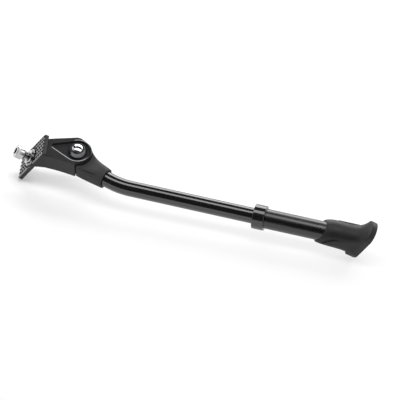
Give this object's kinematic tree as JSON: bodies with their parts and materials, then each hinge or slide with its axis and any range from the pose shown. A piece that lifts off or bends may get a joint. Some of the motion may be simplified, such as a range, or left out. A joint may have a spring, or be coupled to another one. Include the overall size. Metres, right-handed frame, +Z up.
{
  "type": "bicycle kickstand",
  "caption": "Black side stand for a bicycle: a knurled plate bolts under the frame, a cast hinge folds the leg back, and a telescopic leg ends in a moulded foot.",
  "frame": {"origin": "centre of the bolt hole on the plate's top face, where it meets the bicycle's frame", "axes": "+X forward on the bicycle, +Y to its left, +Z up; the leg is down"},
  "size_m": [0.0989, 0.2295, 0.3125],
  "materials": {
    "cast_black": "satin black over a casting",
    "gloss_black": "gloss black",
    "satin_black": "satin black",
    "moulded_black": "matte moulded black",
    "zinc_steel": "bright zinc plate",
    "chromed_steel": "polished",
    "dark_steel": "black oxide",
    "plain_steel": "plain"
  },
  "bodies": {
    "bracket": {"head_body": "cast_black", "mount_bolt": "zinc_steel", "mount_flat_washer": "zinc_steel", "mount_spring_washer": "zinc_steel", "pivot_bolt": "chromed_steel", "pivot_collar": "dark_steel", "pivot_sleeve": "plain_steel", "outer_thrust_washer": "plain_steel", "inner_thrust_washer": "plain_steel", "pivot_inner_washer": "zinc_steel", "pivot_nut": "zinc_steel", "detent_plunger": "plain_steel", "detent_spring": "plain_steel"},
    "leg": {"leg_knuckle": "cast_black", "tube_set_screw": "dark_steel", "upper_tube": "gloss_black"},
    "extension": {"lower_tube": "satin_black", "clamp_collar": "satin_black", "collar_screw": "dark_steel", "foot": "moulded_black"}
  },
  "joints": [
    {"name": "leg_fold", "type": "hinge", "parent": "bracket", "child": "leg", "pos_m": [0, 0.02315, -0.0401], "axis": [0, 0.866, 0.5], "range_deg": [0, 95]},
    {"name": "leg_extend", "type": "slide", "parent": "leg", "child": "extension", "axis": [0.1461, 0.4946, -0.8567], "range_m": [-0.025, 0.035]}
  ]
}
